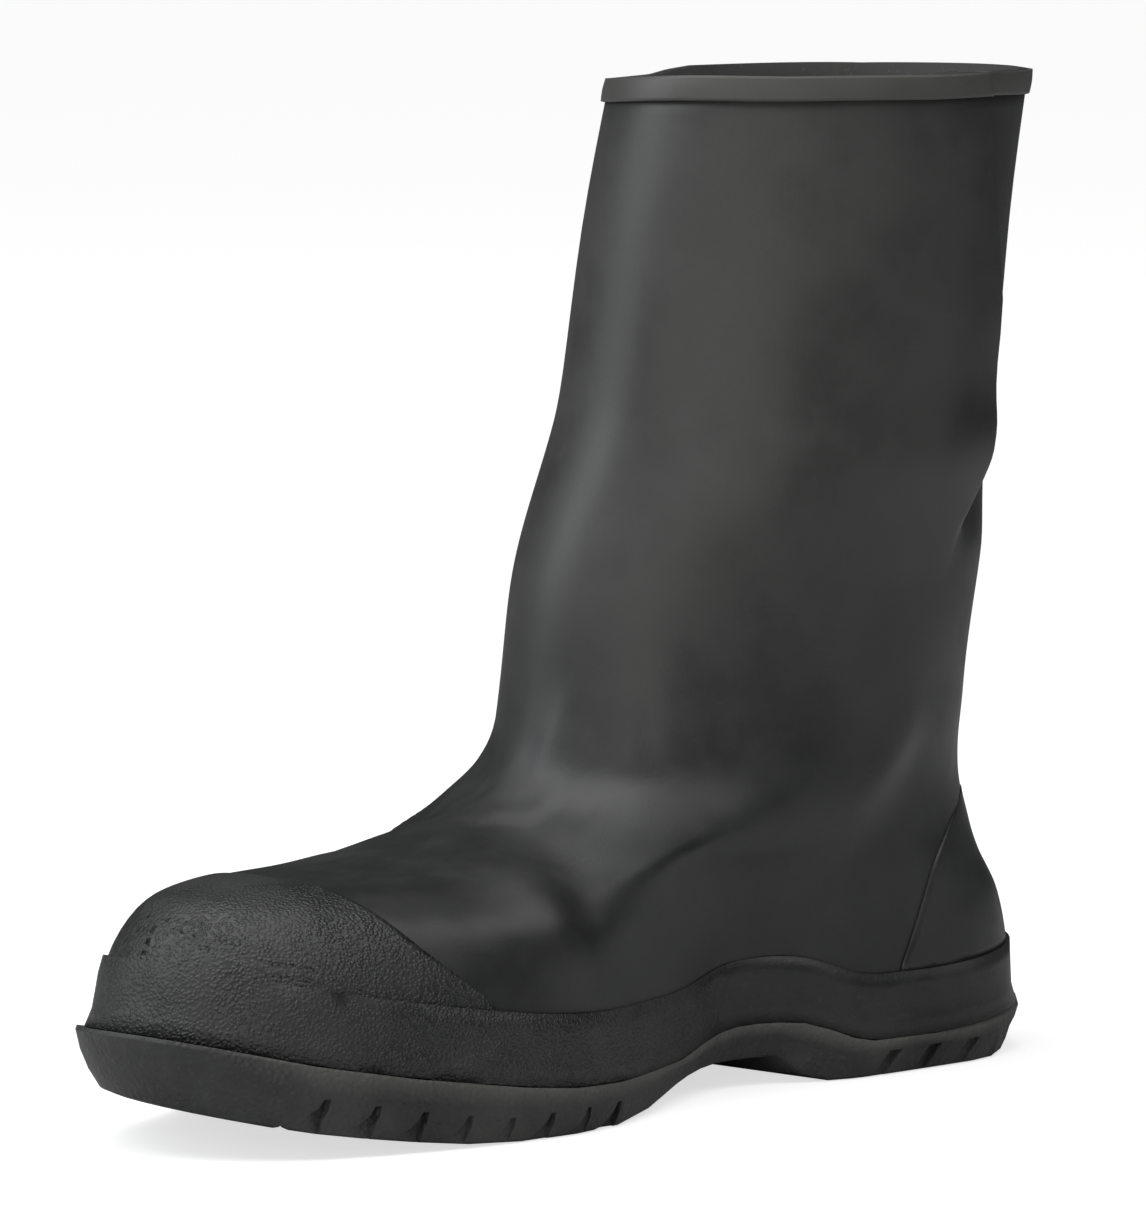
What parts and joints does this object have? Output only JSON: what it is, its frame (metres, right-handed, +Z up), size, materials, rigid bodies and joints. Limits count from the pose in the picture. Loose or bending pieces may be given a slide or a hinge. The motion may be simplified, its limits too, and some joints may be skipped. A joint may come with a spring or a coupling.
{
  "type": "rubber overshoe",
  "caption": "Pull-on rubber overshoe for the right foot, with a tall shaft, a folded ankle gusset, a pebbled toe cap and a grooved sole.",
  "frame": {"origin": "on the floor, under the middle of the whole boot's box", "axes": "+X from the heel to the toe, +Y to the inner side of the foot, +Z up out of the collar"},
  "size_m": [0.338, 0.1228, 0.2707],
  "materials": {
    "upper_rubber": "satin, fine grain",
    "pebbled_rubber": "satin, pebbled",
    "sole_rubber": "matt, moulded",
    "lining": "dull, finely ribbed"
  },
  "bodies": {
    "root": {"outsole": "sole_rubber", "insole": "lining", "upper": "upper_rubber", "foxing": "pebbled_rubber", "toe_cap": "pebbled_rubber", "heel_patch": "upper_rubber", "collar_band": "upper_rubber"}
  },
  "joints": []
}
